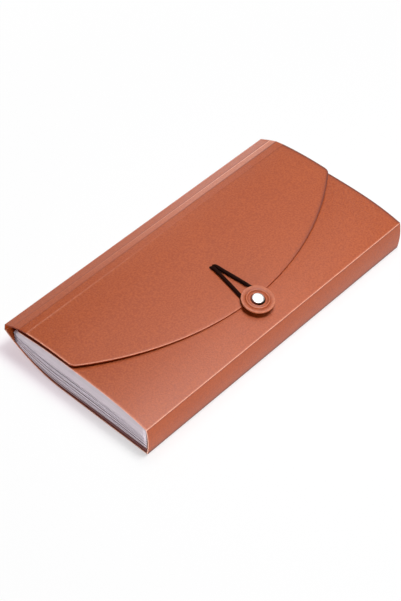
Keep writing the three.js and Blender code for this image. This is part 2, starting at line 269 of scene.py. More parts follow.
def terracotta(name, dark, light, gloss, creased):
    finish, tree = new_finish(name)
    blotch = noise(tree, BLOTCH_SCALE, detail=3.0)
    speckle = noise(tree, SPECKLE_SCALE, detail=3.0)
    grain = noise(tree, GRAIN_SCALE, detail=1.0)
    shade = blotch * BLOTCH_SHARE + speckle * SPECKLE_SHARE - SHADE_START
    colour = blended(tree, shade, dark, light)
    if creased:
        tone = node(tree, "Attribute", attribute_name="crease")["Fac"]
        # crease paling and painted highlights above 0, painted shade below 0
        crease_and_highlight = tone * (CREASE_SHARE + speckle * CREASE_SPECKLE)
        colour = blended(tree, crease_and_highlight, colour, CREASE_AND_HIGHLIGHT_COLOUR)
        colour = blended(tree, tone * -1.0, colour, PAINTED_SHADE_COLOUR)
    height = speckle * SPECKLE_HEIGHT + grain * GRAIN_HEIGHT
    end_surface(
        tree,
        {
            "Base Color": colour,
            "Roughness": 0.38 + speckle * 0.16,
            "Specular IOR Level": gloss,
            "Normal": bumped(tree, height, SAND_DEPTH),
        },
    )
    return finish


sheet_finish = terracotta("terracotta_sheet", SHEET_DARK, SHEET_LIGHT, SHEET_GLOSS, creased=True)
shaded_finish = terracotta("terracotta_painted_shade", SHADED_DARK, SHADED_LIGHT, SHADED_GLOSS, creased=False)
print("finishes:", sheet_finish.name, shaded_finish.name)

# %% [markdown]
# ## Finish: the cover's cut edges
# A knife leaves a bright, slightly ragged edge on such a sheet. The cuts of the front, the spine and the
# back get a finish for it that is paler than the face, with fine marks. The cut edges of the flap and the
# fold strip take the darker copy of the sheet's colour instead, as painted shade.

# %% Cut edges
EDGE_DARK = (0.78, 0.36, 0.25, 1)
EDGE_LIGHT = (0.98, 0.64, 0.52, 1)
EDGE_SCALE, EDGE_DEPTH = 900.0, 0.0001
EDGE_CONTRAST, EDGE_START = 1.4, 0.2

edge_finish, edge_tree = new_finish("cut_edge")
edge_marks = noise(edge_tree, EDGE_SCALE, detail=3.0)
edge_shade = edge_marks * EDGE_CONTRAST - EDGE_START
end_surface(
    edge_tree,
    {
        "Base Color": blended(edge_tree, edge_shade, EDGE_DARK, EDGE_LIGHT),
        "Roughness": 0.5 + edge_marks * 0.2,
        "Normal": bumped(edge_tree, edge_marks, EDGE_DEPTH, strength=0.3),
    },
)
print("finish:", edge_finish.name)

# %% [markdown]
# ## Finish: frosted dividers and gussets
# The inner sheets are thin, milky polypropylene. Light passes a little way into them, which a small
# constant subsurface weight gives. Faint draw lines run along the sheet, and the frosting is a very fine
# bump. An attribute of the pleats paints shade on them, reddened like light off the cover, where they are
# pressed together and in their open grooves.

# %% Frosted sheet
FROST_DARK = (0.60, 0.53, 0.58, 1)
FROST_LIGHT = (0.88, 0.80, 0.86, 1)
# painted shade, reddened like light reflected off the cover
SHADE_AND_BOUNCE_COLOUR = (0.165, 0.032, 0.022, 1)
DRAW_SCALE = (40.0, 6.0, 900.0)  # long marks in the folder's depth, fine ones in its height
FROSTING_SCALE, FROSTING_DEPTH = 2600.0, 0.00006
LINE_SHARE, FROSTING_SHARE, MILK_START = 0.9, 0.3, 0.1
GLOW_RADIUS = (0.0012, 0.0011, 0.0013)

frost_finish, frost_tree = new_finish("frosted_sheet")
drawing = {"Vector": object_place(frost_tree), "Scale": DRAW_SCALE}
drawn = node(frost_tree, "Mapping", drawing)["Vector"]
draw_lines = noise(frost_tree, 1.0, detail=3.0, where=drawn)
frosting = noise(frost_tree, FROSTING_SCALE, detail=2.0)
milk = draw_lines * LINE_SHARE + frosting * FROSTING_SHARE - MILK_START
milky = blended(frost_tree, milk, FROST_DARK, FROST_LIGHT)
pleat_shade = node(frost_tree, "Attribute", attribute_name="pleat_shade")["Fac"]
end_surface(
    frost_tree,
    {
        "Base Color": blended(frost_tree, pleat_shade, milky, SHADE_AND_BOUNCE_COLOUR),
        "Roughness": 0.36 + frosting * 0.14,
        "Subsurface Weight": 0.12,
        "Subsurface Radius": GLOW_RADIUS,
        "Normal": bumped(frost_tree, frosting, FROSTING_DEPTH, strength=0.15),
    },
)
print("finish:", frost_finish.name)

# %% [markdown]
# ## Finish: nickelled metal
# The rivet and the little stop under the flap are pressed metal with a bright plating. Small waves in the
# roughness keep the reflection from looking like a mirror.

# %% Nickel
NICKEL_DARK = (0.70, 0.69, 0.68, 1)
NICKEL_LIGHT = (0.88, 0.87, 0.86, 1)
NICKEL_SCALE = 700.0

nickel_finish, nickel_tree = new_finish("nickel")
nickel_marks = noise(nickel_tree, NICKEL_SCALE, detail=4.0)
end_surface(
    nickel_tree,
    {
        "Base Color": blended(nickel_tree, nickel_marks, NICKEL_DARK, NICKEL_LIGHT),
        "Metallic": 1.0,
        "Roughness": 0.24 + nickel_marks * 0.16,
    },
)
print("finish:", nickel_finish.name)

# %% [markdown]
# ## Finish: braided elastic
# The loop is a round elastic with a woven cover. The tube stores the angle round the cord and the distance
# along it in an attribute, so two sets of threads can wind round it, one to each side. Their product makes
# the little diamonds of a braid, as colour and as bump.

# %% Elastic
BRAID_THREADS = 8
BRAID_PITCH = 2600.0  # turns of the pattern, in radians per metre
BRAID_DEPTH = 0.00015
ELASTIC_DARK = (0.005, 0.0012, 0.0008, 1)
ELASTIC_LIGHT = (0.020, 0.005, 0.003, 1)

elastic_finish, elastic_tree = new_finish("braided_elastic")
around = node(elastic_tree, "Attribute", attribute_name="around")["Vector"]
parts = node(elastic_tree, "SeparateXYZ", {"Vector": around})
angle = parts["X"].maths("ARCTAN2", parts["Y"], parts["X"])
along = parts["Z"] * BRAID_PITCH
braid = (angle * BRAID_THREADS + along).sine() * (angle * BRAID_THREADS - along).sine()
weave = braid * 0.5 + 0.5
end_surface(
    elastic_tree,
    {
        "Base Color": blended(elastic_tree, weave, ELASTIC_DARK, ELASTIC_LIGHT),
        "Roughness": 0.85 - weave * 0.15,
        "Specular IOR Level": 0.05,
        "Normal": bumped(elastic_tree, weave, BRAID_DEPTH, strength=0.6),
    },
)
print("finish:", elastic_finish.name)

# %% [markdown]
# ## The folder's section
# Every piece of the cover follows one line, seen from the end: the crowned front, the bowed spine, the back
# that curves up to the fold, and the flap that lies over the front. The line is written once, in
# millimetres, as it is in the solid model, and the pieces below all read it.

# %% Section of the cover
HALF_LENGTH = 127.5
COVER_SHEET = 0.8
SPINE_Y, FOLD_Y, MOUTH_Y, CROWN_Y = -65.3, 66.5, 55.0, 9.7
SPINE_HEIGHT, SPINE_BOW = 24.0, 1.2
FRONT_RISE, SHOULDER_POWER, MOUTH_DROP = 6.2, 3.5, 3.2
HINGE_HEIGHT, LIFT_START_Y = 18.8, 13.5
LIFT_RADIUS = ((FOLD_Y - LIFT_START_Y) ** 2 + HINGE_HEIGHT**2) / (2 * HINGE_HEIGHT)
FLAP_ROOT_Y, FLAP_TIP_Y = 43.7, -42.0
FLAP_ROOT_GAP, FLAP_TIP_GAP = 3.0, 0.5


def front_top(y):
    spine_share = max(0.0, (CROWN_Y - y) / (CROWN_Y - SPINE_Y))
    mouth_share = max(0.0, (y - CROWN_Y) / (MOUTH_Y - CROWN_Y))
    return SPINE_HEIGHT + FRONT_RISE * (1 - spine_share**SHOULDER_POWER) - MOUTH_DROP * mouth_share**2


def flap_top(y):
    share = (y - FLAP_TIP_Y) / (FLAP_ROOT_Y - FLAP_TIP_Y)
    gap = FLAP_TIP_GAP + (FLAP_ROOT_GAP - FLAP_TIP_GAP) * math.sin(share * math.pi / 2)
    return front_top(y) + gap + COVER_SHEET


def back_bottom(y):
    return LIFT_RADIUS - math.sqrt(LIFT_RADIUS**2 - max(0.0, y - LIFT_START_Y) ** 2)


print("front crown", round(front_top(CROWN_Y), 2), "flap root", round(flap_top(FLAP_ROOT_Y), 2))

# %% [markdown]
# ## The elastic loop
# The cord leaves a slot in the flap as two strands, lies on the flap, drops over its tip and turns round
# the button, under the disc. Its centreline repeats the points of the solid model. A grid rolled up along
# that line makes the tube: one direction of the grid runs round the cord, and the other along it.

# %% Route of the loop
HOLE_X, HOLE_Y = -1.0, -5.1
BUTTON_X, BUTTON_Y = -2.4, -45.9
HALF_LOOP = [  # sideways from the line between hole and button, along the depth, and up
    (1.3, 1.4, -0.72),
    (1.3, 0.97, -0.25),
    (1.3, 0.22, 0.42),
    (1.3, -0.65, 0.93),
    (1.3, -1.6, 1.24),
    (1.35, -2.5, 1.36),
    (1.75, -6, 1.08),
    (2.75, -13, 0.67),
    (3.8, -20, 0.15),
    (4.85, -27, -0.54),
    (5.6, -32, -1.16),
    (6.15, -36.3, -1.78),
    (6.25, -39.8, -2.18),
    (5.41, -42.7, -2.61),
    (3.12, -44.85, -2.95),
    (0, -45.6, -3.08),
]
LEAN = (HOLE_X - BUTTON_X) / (HOLE_Y - BUTTON_Y)
CORD_STEPS = 8  # between two points of the route


def smooth_line(points, steps):
    """A Catmull-Rom line through the points, with knots spaced by the root of each chord."""
    line = []
    padded = [points[0] * 2 - points[1], *points, points[-1] * 2 - points[-2]]
    for a, b, c, d in zip(padded, padded[1:], padded[2:], padded[3:]):
        knots = [0.0]
        for p, q in ((a, b), (b, c), (c, d)):
            knots.append(knots[-1] + math.sqrt((q - p).length))
        for i in range(steps):
            t = knots[1] + (knots[2] - knots[1]) * i / steps
            mixed = [a, b, c, d]
            for low, high in ((knots, knots[1:]), (knots, knots[2:]), (knots[1:], knots[2:3])):
                spans = zip(mixed, mixed[1:], low, high)
                mixed = [p.lerp(q, (t - t0) / (t1 - t0)) for p, q, t0, t1 in spans]
            line.append(mixed[0])
    return [*line, points[-1]]


hole = Vector((HOLE_X, HOLE_Y, flap_top(HOLE_Y)))
half_route = [hole + Vector((LEAN * y + x, y, z)) for x, y, z in HALF_LOOP]
other_half = [hole + Vector((LEAN * y - x, y, z)) for x, y, z in HALF_LOOP[:-1]]
route = smooth_line([*other_half, *reversed(half_route)], CORD_STEPS)
distance = [0.0]
for p, q in zip(route, route[1:]):
    distance.append(distance[-1] + (q - p).length)
print("route:", len(route), "points")

# %% Elastic loop
CORD_DIAMETER = 2.55
CORD_SIDES = 16
CORD_SEAT = 0.75  # depth in the slot at which the cord rests on its stop


def cord_spot(turn, index):
    ahead = (route[min(index + 1, len(route) - 1)] - route[max(index - 1, 0)]).normalized()
    side = ahead.cross(Vector((0, 0, 1))).normalized()
    over = side.cross(ahead)
    spot = route[index] + (side * math.cos(turn) + over * math.sin(turn)) * CORD_DIAMETER / 2
    spot.z = max(spot.z, hole.z - CORD_SEAT)
    return spot


turns = spaced(CORD_SIDES, 0, 2 * math.pi)
cord_bm, spots = carried_grid(turns, list(range(len(route))), cord_spot)
layer = cord_bm.verts.layers.float_vector.new("around")
for vert, (i, j) in zip(cord_bm.verts, spots):
    vert[layer] = Vector((math.cos(turns[i]), math.sin(turns[i]), distance[j] * MM))
bmesh.ops.remove_doubles(cord_bm, verts=cord_bm.verts, dist=MERGE_DISTANCE)
bmesh.ops.holes_fill(cord_bm, edges=[e for e in cord_bm.edges if e.is_boundary], sides=0)
bmesh.ops.recalc_face_normals(cord_bm, faces=cord_bm.faces)
elastic = add_piece("elastic_cord", cord_bm, elastic_finish)
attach(elastic, "flap")
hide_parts("elastic_loop")
tuple(route[0] * MM)
[tuple(p * MM) for p in route]
print("elastic loop:", round(distance[-1], 1), "mm long")

# %% [markdown]
# ## Creases and rims
# Bent plastic pales in a line about a millimetre wide. A texture doesn't know where the creases are, but the
# mesh does: its rows lie close together there, and each point gets a tone by its distance from the crease.
# Cut rims get a tone too: a painted highlight at the left end and a painted shadow towards the right.

# %% Tones of creases and rims
EDGE_ROUND = 0.18
CREASE_ROWS = (0.0, 0.25, 0.6, 1.1)  # mm from a crease
CREASE_VALUES = (1.0, 0.85, 0.25, 0.0)
RIM_MIDDLE, RIM_CHANGE = 0.1, 1.1
RIM_NARROWING, RIM_WIDENING = 0.6, 0.22


def crease_at(gap):
    """How far a point at this distance from a crease has changed, from 0 to 1."""
    steps = list(zip(CREASE_ROWS, CREASE_VALUES))
    for (near, high), (far, low) in zip(steps, steps[1:]):
        if gap <= far:
            return high + (low - high) * (gap - near) / (far - near)
    return 0.0


def rim_light_and_shade(x, gap):
    """Painted highlight on rims at the left end, and a wider painted shadow beside them at the right."""
    right = math.sin(x / HALF_LENGTH * math.pi / 2)
    return (RIM_MIDDLE - RIM_CHANGE * right) * crease_at(gap * (RIM_NARROWING - RIM_WIDENING * right))


def end_gap(x):
    """Distance from the nearer end of the folder."""
    return HALF_LENGTH - abs(x)


def creased_steps(start, middle, end):
    """Steps of a grid from one crease to another, close together at both."""
    way = 1 if end > start else -1
    leaving = [start + way * gap for gap in CREASE_ROWS]
    arriving = [end - way * gap for gap in reversed(CREASE_ROWS)]
    return [*leaving, *middle, *arriving]


def paint_crease_and_light(bm, tone_at):
    """Writes the crease attribute, crease paling with painted light and shade, from each point's place in mm.
    """
    layer = bm.verts.layers.float.new("crease")
    for vert in bm.verts:
        vert[layer] = tone_at(vert.co / MM)


def cover_piece(name, bm, rim_finish, edge_round=EDGE_ROUND, pale_rim=True):
    """A piece of the cover, with its thickness and the finish of its cut edges."""
    piece = add_piece(name, bm, sheet_finish, rim_finish)
    thicken(piece, COVER_SHEET, edge_round, pale_rim)
    print(name, "has", len(piece.data.polygons), "faces")
    return piece


print("a crease fades over", CREASE_ROWS[-1], "mm")

# %% [markdown]
# ## Front panel
# The front is a sheet crowned like a shallow dome in one direction. Its edge at the spine is a crease, which
# shows as a pale line. The corners at the mouth are rounded by pulling the last columns back along an arc.

# %% Front panel
MOUTH_CORNER = 4.0
SHOULDER_ROWS, SHOULDER_END = (1.8, 2.8, 4.2), 6  # mm from the spine, where the front curves most
LEFT_RIM_SHARE = 0.6


def end_columns(corner):
    """Columns over the folder's length, gathered in the rounded corners at both ends."""
    bend = [HALF_LENGTH - corner + corner * math.sin(a) for a in spaced(8, 0, math.pi / 2)]
    middle = spaced(46, -HALF_LENGTH + corner, HALF_LENGTH - corner)[1:-1]
    return [-x for x in reversed(bend)] + middle + bend


def front_spot(x, row):
    past = max(0.0, abs(x) - (HALF_LENGTH - MOUTH_CORNER))
    edge = MOUTH_Y - MOUTH_CORNER + math.sqrt(max(0.0, MOUTH_CORNER**2 - past**2))
    y = row if row < 0 else row * edge / MOUTH_Y
    return (x, y, front_top(y))


def front_tone(p):
    """The painted highlight on the rim at the left is fainter here than the painted shadow at the right."""
    rim = rim_light_and_shade(p.x, end_gap(p.x))
    return crease_at(p.y - SPINE_Y) + min(rim, LEFT_RIM_SHARE * rim)


front_rows = [
    *[SPINE_Y + gap for gap in (*CREASE_ROWS, *SHOULDER_ROWS)],
    *spaced(14, SPINE_Y + SHOULDER_END, 0),
    *spaced(14, 0, MOUTH_Y)[1:],
]
front_bm, _ = carried_grid(end_columns(MOUTH_CORNER), front_rows, front_spot)
paint_crease_and_light(front_bm, front_tone)
front = cover_piece("front_cover", front_bm, edge_finish, pale_rim=False)
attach(front, "front")
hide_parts("front_panel")

# %% [markdown]
# ## Spine and back
# The spine is a narrow panel that bows outwards, with painted shade at its foot and a painted dark line
# under its upper edge. The back lies flat on the table and curves up to the fold, as the sheet does when it
# is pulled round the stack. Both are plain grids, with their columns gathered at the two ends.

# %% Spine panel
# painted contact shadow at the foot, and painted shade under the upper edge
FOOT_SHADE, FOOT_NARROWING = -1.2, 0.24
TOP_SHADE, TOP_NARROWING = -0.8, 0.7
COLUMN_MARGIN, ROW_MARGIN = 4, 2  # mm from an end or a crease to the first plain column or row

plain_columns = spaced(38, COLUMN_MARGIN - HALF_LENGTH, HALF_LENGTH - COLUMN_MARGIN)
straight_columns = creased_steps(-HALF_LENGTH, plain_columns, HALF_LENGTH)
spine_rows = creased_steps(0, spaced(10, ROW_MARGIN, SPINE_HEIGHT - ROW_MARGIN), SPINE_HEIGHT)


def spine_spot(x, z):
    share = z / SPINE_HEIGHT
    return (x, SPINE_Y - 4 * SPINE_BOW * share * (1 - share), z)


def spine_shade(p):
    foot = FOOT_SHADE * crease_at(p.z * FOOT_NARROWING)
    top = TOP_SHADE * crease_at((SPINE_HEIGHT - p.z) * TOP_NARROWING)
    return foot + top


spine_bm, _ = carried_grid(straight_columns, spine_rows, spine_spot)
paint_crease_and_light(spine_bm, spine_shade)
spine = cover_piece("spine_cover", spine_bm, edge_finish)
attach(spine, "spine")
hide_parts("spine_panel")

# %% Back panel
back_curve = spaced(24, FOLD_Y - ROW_MARGIN, LIFT_START_Y)
back_flat = spaced(10, LIFT_START_Y, SPINE_Y + ROW_MARGIN)[1:]
back_rows = creased_steps(FOLD_Y, [*back_curve, *back_flat], SPINE_Y)


# pale creases, with a painted highlight and shadow on the end rims
def back_tone(p):
    return crease_at(FOLD_Y - p.y) + crease_at(p.y - SPINE_Y) + rim_light_and_shade(p.x, end_gap(p.x))


back_bm, _ = carried_grid(straight_columns, back_rows, lambda x, y: (x, y, back_bottom(y)))
paint_crease_and_light(back_bm, back_tone)
back = cover_piece("back_cover", back_bm, edge_finish)
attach(back, "back")
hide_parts("back_panel")

# %% [markdown]
# ## Fold strip
# Between the back and the flap the sheet is scored, so that it can turn round a stack of any height. The
# two scores get painted shade as dark lines. The facet between them gets a painted sheen that grows towards
# the right end, and a painted highlight line runs beside the outer score. This is the one part of the cover
# that is bent along its whole width.

# %% Section of the strip
FLAP_ROOT = (FLAP_ROOT_Y, flap_top(FLAP_ROOT_Y))
LIP_HIGHLIGHT, LIP_GAP, LIP_WIDTH = 4.5, 0.6, 0.7  # painted highlight line beside the outer score
PLAIN_MARGIN = 1.6  # mm from a crease to the first plain row
FOLD_LINE = [  # y, z and how the crease shows: paler above 0, painted shade of a score below it
    (*FLAP_ROOT, 0.0),
    (FOLD_Y - 16, FLAP_ROOT[1] - 1.1, -0.8),
    (FOLD_Y - 9.5, FLAP_ROOT[1] - 3.54, -0.9),
    (FOLD_Y - 1, FLAP_ROOT[1] - 7.6, 0.3),
    (FOLD_Y, HINGE_HEIGHT, 0.5),
]


def band_rows():
    """Points along the strip's section, each with its crease's tone and its share of the facet's painted
    sheen.
    """
    rows = []
    for (y0, z0, tone0), (y1, z1, tone1) in zip(FOLD_LINE, FOLD_LINE[1:]):
        length = math.hypot(y1 - y0, z1 - z0)
        plain = spaced(4, PLAIN_MARGIN, length - PLAIN_MARGIN)
        for gap in creased_steps(0, plain, length)[:-1]:
            share = gap / length
            tone = tone0 * crease_at(gap) + tone1 * crease_at(length - gap)
            lip_highlight = LIP_HIGHLIGHT * max(0.0, 1 - abs(length - gap - LIP_GAP) / LIP_WIDTH)
            facet_sheen = min(1.0, gap, length - gap) + lip_highlight if tone0 < 0 and tone1 < 0 else 0.0
            rows.append((y0 + (y1 - y0) * share, z0 + (z1 - z0) * share, tone, facet_sheen))
    return [*rows, (*FOLD_LINE[-1], 0.0)]


strip_rows = band_rows()
print("fold strip:", len(strip_rows), "rows")

# %% Fold strip
FACET_SHEEN = 0.32
# painted sheen and score shade grow towards the right end
STRENGTH_LEAST, STRENGTH_CHANGE, STRENGTH_POWER = 0.1, 0.9, 1.5
SCORE_LEAST, SCORE_CHANGE = 0.4, 0.6
ROOT_LEFT, ROOT_CHANGE = 0.4, 0.8


def painted_light_strength(x):
    """How strong the painted sheen and the scores' painted shade are, from 0 to 1: more towards the right
    end.
    """
    return STRENGTH_LEAST + STRENGTH_CHANGE * max(0.0, (x / HALF_LENGTH + 1) / 2) ** STRENGTH_POWER


def root_tone(x):
    """The crease at the flap's root gets a painted highlight at the left end and a painted shadow at the
    right.
    """
    return ROOT_LEFT - ROOT_CHANGE * painted_light_strength(x)


band_bm, spots = carried_grid(straight_columns, strip_rows, lambda x, row: (x, row[0], row[1]))
layer = band_bm.verts.layers.float.new("crease")
for vert, (i, j) in zip(band_bm.verts, spots):
    tone, facet_sheen = strip_rows[j][2:]
    light_strength = painted_light_strength(straight_columns[i])
    root = root_tone(straight_columns[i]) * crease_at(math.dist(FLAP_ROOT, strip_rows[j][:2]))
    # painted shade in the scores, painted sheen on the facet and beside the score, light and shade at the
    # root
    vert[layer] = tone * (SCORE_LEAST + SCORE_CHANGE * light_strength) + FACET_SHEEN * facet_sheen * light_strength + root
band = cover_piece("fold_band", band_bm, shaded_finish, edge_round=0)
FLAP_ROOT[0] * MM
FLAP_ROOT[1] * MM
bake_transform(band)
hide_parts("fold_strip")

# %% [markdown]
# ## Flap
# The flap ends in one wide arc with small rounded corners. Its grid is stretched between that edge and the
# straight root, column by column, so every row of it runs smoothly from end to end. A small slot for the
# elastic is punched by cutting the grid along the sides of an octagon and deleting the faces inside.

# %% Outline of the flap
FLAP_SAG, FLAP_CORNER = 43.0, 7.0
FLAP_MARGIN = 0.03  # share of the flap's depth before its first plain row
FLAP_DEPTH = FLAP_ROOT_Y - FLAP_TIP_Y
ARC_RADIUS = (HALF_LENGTH**2 + FLAP_SAG**2) / (2 * FLAP_SAG)
ARC_Y = FLAP_TIP_Y + ARC_RADIUS
CORNER_X = HALF_LENGTH - FLAP_CORNER
CORNER_Y = ARC_Y - math.sqrt((ARC_RADIUS - FLAP_CORNER) ** 2 - CORNER_X**2)
JOIN_X = CORNER_X * ARC_RADIUS / (ARC_RADIUS - FLAP_CORNER)


def flap_edge(x):
    if abs(x) > JOIN_X:
        return CORNER_Y - math.sqrt(max(0.0, FLAP_CORNER**2 - (abs(x) - CORNER_X) ** 2))
    return ARC_Y - math.sqrt(ARC_RADIUS**2 - x**2)


def flap_spot(x, share):
    y = flap_edge(x) + (FLAP_ROOT_Y - flap_edge(x)) * share
    return (x, y, flap_top(y))


crease_shares = [gap / FLAP_DEPTH for gap in CREASE_ROWS]
root_shares = [1 - share for share in reversed(crease_shares)]
flap_rows = [*crease_shares, *spaced(26, FLAP_MARGIN, 1 - FLAP_MARGIN), *root_shares]
flap_bm, _ = carried_grid(end_columns(FLAP_CORNER), flap_rows, flap_spot)
print("flap:", len(flap_bm.faces), "faces before the slot")

# %% Slot and flap
SLOT_WIDTH, SLOT_LENGTH, SLOT_CORNER = 5.5, 3.8, 1.6

slot_x, slot_y = SLOT_WIDTH / 2, SLOT_LENGTH / 2
cut_x, cut_y = slot_x - SLOT_CORNER / 2, slot_y - SLOT_CORNER / 2
slot_reach = 2 * SLOT_WIDTH * MM
slot_sides = []  # a point on each side of the octagon, and the way that it faces
for sx, sy in ((1, 0), (-1, 0), (0, 1), (0, -1)):
    slot_sides.append(((sx * slot_x, sy * slot_y), (sx, sy)))
for sx, sy in ((1, 1), (1, -1), (-1, 1), (-1, -1)):
    slot_sides.append(((sx * cut_x, sy * cut_y), (sx, sy)))


def in_slot(p):
    across, along = p.x / MM - HOLE_X, p.y / MM - HOLE_Y
    return all((across - x) * nx + (along - y) * ny < 0 for (x, y), (nx, ny) in slot_sides)


# painted highlight and shadow on the rim, and painted light and shade at the root crease
def flap_tone(p):
    rim_gap = min(p.y - flap_edge(p.x), end_gap(p.x))
    return rim_light_and_shade(p.x, rim_gap) + root_tone(p.x) * crease_at(FLAP_ROOT_Y - p.y)


for (x, y), (nx, ny) in slot_sides:
    near = [f for f in flap_bm.faces if (f.calc_center_median() - hole * MM).xy.length < slot_reach]
    near_edges = list({e for f in near for e in f.edges})
    near_verts = list({v for f in near for v in f.verts})
    bmesh.ops.bisect_plane(
        flap_bm,
        geom=near + near_edges + near_verts,
        plane_co=Vector((x + HOLE_X, y + HOLE_Y, 0)) * MM,
        plane_no=(nx, ny, 0),
        dist=FINE_DISTANCE,
    )
punched = [f for f in flap_bm.faces if in_slot(f.calc_center_median())]
bmesh.ops.delete(flap_bm, geom=punched, context="FACES")
paint_crease_and_light(flap_bm, flap_tone)
# its cut edges take the darker copy of the sheet's colour, as painted shade
flap = cover_piece("flap_cover", flap_bm, shaded_finish, pale_rim=False)
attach(flap, "flap")
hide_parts("closing_flap", "flap_tip")
print("slot:", len(punched), "faces punched out")

# %% [markdown]
# ## Dividers
# The dividers are plain frosted sheets with an index tab each, and the solid model already has their shape.
# Its mesh is made of loose triangles, so a copy is merged and its flat parts are smoothed, which lets the
# bowed sheets shade without facets.

# %% Dividers
DIVIDERS = 12

for number in range(1, DIVIDERS + 1):
    cad_name = f"divider_{number:02d}"
    sheet_bm = bmesh.new()
    sheet_bm.from_mesh(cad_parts[cad_name].data)
    bmesh.ops.remove_doubles(sheet_bm, verts=sheet_bm.verts, dist=MERGE_DISTANCE)
    sheet = add_piece(f"divider_sheet_{number:02d}", sheet_bm, frost_finish)
    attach(sheet, f"sheet_{number:02d}")
    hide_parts(cad_name)
print("dividers:", DIVIDERS)

# %% [markdown]
# ## Gussets
# At each end a pleated strip joins the sheets. Every pleat has two leaves that meet in an outer ridge, and
# the front pocket's pleat is a tall, smooth wall. The leaves are separate grids, because each one belongs to
# the sheet that it is welded to. The pleats' noses are flattened, and small, fixed waves keep the ridges from
# lying in a perfect plane, as thin plastic never does.

# %% Heights of the stack
DIVIDER_SHEET = 0.2
STACK_SHARE = 0.6  # of the room between back and front that the dividers take up
WELD_GAP = 0.1
SLOPE_STEP = 0.1


def stretch(height_at, y):
    """How much taller a sheet's thickness stands where the sheet slopes."""
    slope = (height_at(y + SLOPE_STEP) - height_at(y - SLOPE_STEP)) / (2 * SLOPE_STEP)
    return math.hypot(1, slope)


def back_inside(y):
    return back_bottom(y) + COVER_SHEET * stretch(back_bottom, y)


def front_inside(y):
    return front_top(y) - COVER_SHEET * stretch(front_top, y)


def sheet_height(number, y):
    """Middle of a divider, or the inner face of the back for 0 and of the front for the last one."""
    if number > DIVIDERS:
        return front_inside(y)
    room = front_inside(min(y, MOUTH_Y)) - back_inside(min(y, MOUTH_Y))
    return back_inside(y) + STACK_SHARE * number / DIVIDERS * room


def pleat_heights(pleat, y):
    """Floor and roof of a pleat, between the two sheets that it joins."""
    half_sheet = DIVIDER_SHEET / 2
    low = sheet_height(pleat - 1, y) + WELD_GAP + (half_sheet if pleat > 1 else 0)
    high = sheet_height(pleat, y) - WELD_GAP - (half_sheet if pleat <= DIVIDERS else 0)
    return low, high


print("stack at the crown:", [round(sheet_height(n, CROWN_Y), 1) for n in (0, DIVIDERS, DIVIDERS + 1)])

# %% Shapes of the leaves
DIVIDER_HALF = 117.0
RIDGE_X = 127.0
FLANGE = 5.0
NOSE_TURNS = (90, 60, 30, 0)  # degrees round the fold, from the leaf to the ridge
NOSE_DEPTH = 0.35
RIDGE_INSET, PLEAT_WAVE, DEPTH_WAVE = 0.25, 0.15, 0.1
PLEAT_TURN, DEPTH_TURN, DEPTH_SHIFT = 2.4, 0.045, 1.7  # of the waves, in radians per pleat, mm and pleat
WALL_INSET, WALL_RIDGE_SHARE, WALL_BULGE = 1.2, 0.01, 0.35
MOUTH_SLACK = 0.4  # how steeply the wall drops past the front panel


def ridge_wave(pleat, y):
    """How far the ridge stands back from its line, in mm."""
    by_pleat = PLEAT_WAVE * math.sin(pleat * PLEAT_TURN)
    return RIDGE_INSET + by_pleat + DEPTH_WAVE * math.sin(y * DEPTH_TURN + pleat * DEPTH_SHIFT)


def pleat_spot(pleat, side, upper):
    """Place of a point of a pleat's leaf: a flange, a flat part, and half of the fold at the ridge."""

    def spot(step, y):
        low, high = pleat_heights(pleat, y)
        nose = (high - low) / 2
        tip_x = RIDGE_X - ridge_wave(pleat, y)
        if step[0] == "leaf":
            start_x = DIVIDER_HALF - FLANGE if step[1] < 0 else DIVIDER_HALF
            x = start_x + (tip_x - NOSE_DEPTH - DIVIDER_HALF) * max(0.0, step[1])
            return (side * x, y, high if upper else low)
        turn = math.radians(step[1])
        reach = nose * math.sin(turn)
        x = tip_x - NOSE_DEPTH * (1 - math.cos(turn))
        return (side * x, y, low + nose + (reach if upper else -reach))

    return spot


def wall_spot(side, upper):
    """The front pocket's pleat: its roof leaf is the tall outer wall, and its floor leaf lies under it."""

    def spot(step, y):
        low, high = pleat_heights(DIVIDERS + 1, y)
        high -= MOUTH_SLACK * max(0.0, y - MOUTH_Y + MOUTH_CORNER)
        ridge = low + (high - low) * WALL_RIDGE_SHARE
        root_x = RIDGE_X - WALL_INSET if upper else DIVIDER_HALF
        root_z = high if upper else low
        if step < 0:
            return (side * (root_x - FLANGE), y, root_z)
        bulge = WALL_BULGE * math.sin(step * math.pi) if upper else 0.0
        x = root_x + (RIDGE_X - root_x) * step + bulge
        return (side * x, y, root_z + (ridge - root_z) * step)

    return spot


leaf_steps = [("leaf", share) for share in (-1, 0, 0.5, 0.9)] + [("nose", turn) for turn in NOSE_TURNS]
wall_steps = [-1, *spaced(8, 0, 1)]
print("steps across a leaf:", len(leaf_steps), "and across the wall:", len(wall_steps))

# %% [markdown]
# ## Painted shade in the gussets
# The lowest pleats are pressed down on the back panel and get painted shade, reddened like light off the
# cover. Higher up every second groove stands open and gets painted shade as a dark line. One attribute gives
# both, and a little of it dims the smooth wall.

# %% Gusset leaves
GUSSET_SHEET = 0.1
GUSSET_START_Y, GUSSET_END_Y = SPINE_Y + 1.1, FOLD_Y - 8.9
PRESSED_LEAST, PRESSED_CHANGE, PRESSED_FADE = 0.9, 2.6, 1.5  # in pleats
PRESSED_SHADE, WALL_SHADE = 0.95, 0.13
DEEP_GROOVE, SHALLOW_GROOVE, GROOVE_POWER = 0.62, 0.08, 4


def lowness(pleat, y):
    """1 for the pleats pressed down on the back panel. There are more of them towards the spine."""
    pressed = PRESSED_LEAST + PRESSED_CHANGE * (FOLD_Y - y) / (FOLD_Y - SPINE_Y)
    return min(1.0, max(0.0, (pressed + 1 - pleat) / PRESSED_FADE))


